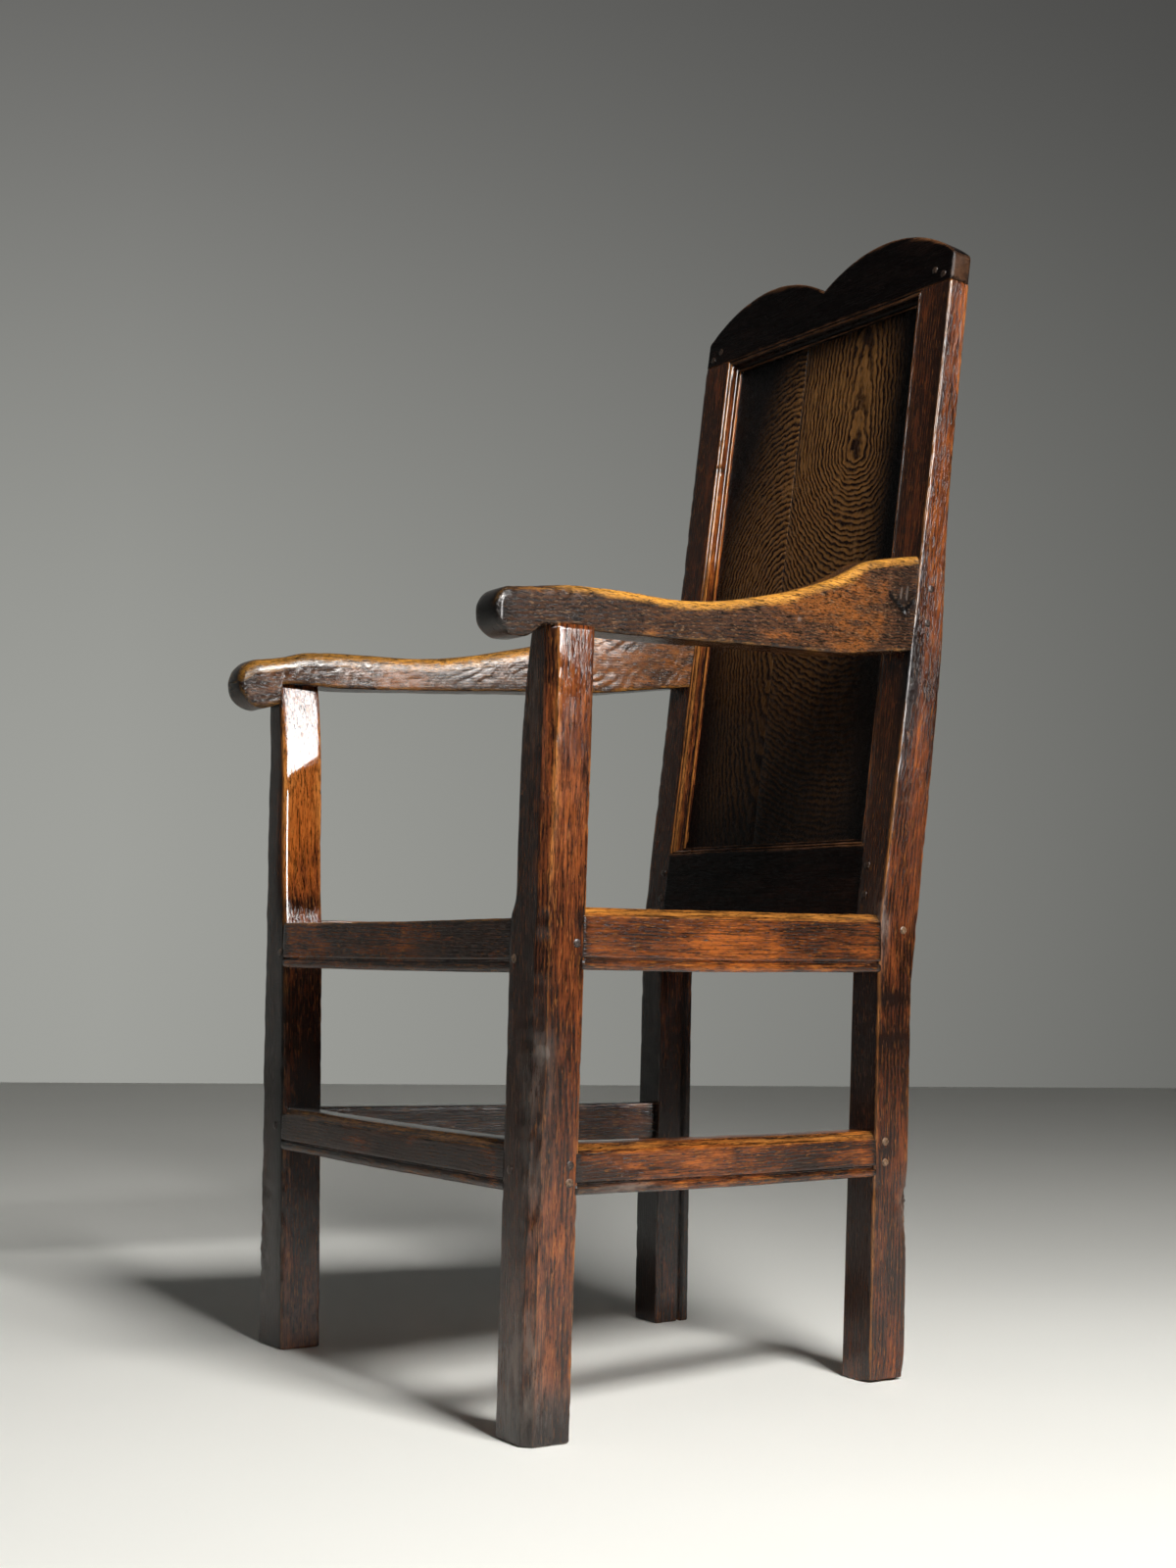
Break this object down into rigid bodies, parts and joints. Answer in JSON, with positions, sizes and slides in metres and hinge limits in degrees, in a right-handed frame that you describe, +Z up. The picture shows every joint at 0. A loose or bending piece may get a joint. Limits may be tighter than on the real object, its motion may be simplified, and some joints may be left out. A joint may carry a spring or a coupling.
{
  "type": "wainscot armchair",
  "caption": "Joined oak armchair with a raked panelled back, double-arched crest, scrolled open arms, boarded seat and low box stretchers.",
  "frame": {"origin": "on the floor, at the centre of the chair's bounding box seen from above", "axes": "+Z up along the back, the sitter faces -Y, +X is the sitter's left hand"},
  "size_m": [0.5878, 0.6059, 1.1604],
  "materials": {
    "oak_posts": "waxed dark oak, worn lighter on the corners",
    "oak_arms": "waxed dark oak, hand-polished, golden on the top edges",
    "oak_seat": "waxed oak worn by use",
    "oak_panel": "dark waxed oak with a strong figure",
    "oak_back_frame": "near-black waxed oak",
    "oak_rails": "waxed dark oak, worn along the top edges",
    "oak_pegs": "end grain of cleft oak pegs, some pale and some dark"
  },
  "bodies": {
    "root": {"front_leg_right": "oak_posts", "front_leg_left": "oak_posts", "rear_stile_right": "oak_posts", "rear_stile_left": "oak_posts", "front_seat_rail": "oak_rails", "rear_seat_rail": "oak_rails", "seat_rail_right": "oak_rails", "seat_rail_left": "oak_rails", "front_stretcher": "oak_rails", "stretcher_right": "oak_rails", "stretcher_left": "oak_rails", "seat_board_front": "oak_seat", "seat_board_middle": "oak_seat", "seat_board_rear": "oak_seat", "crest_rail": "oak_back_frame", "lower_back_rail": "oak_back_frame", "panel_board_left": "oak_panel", "panel_board_right": "oak_panel", "arm_right": "oak_arms", "arm_left": "oak_arms", "seat_rail_pegs": "oak_pegs", "stretcher_pegs": "oak_pegs", "arm_pegs": "oak_pegs", "crest_pegs": "oak_pegs", "lower_rail_pegs": "oak_pegs"}
  },
  "joints": []
}
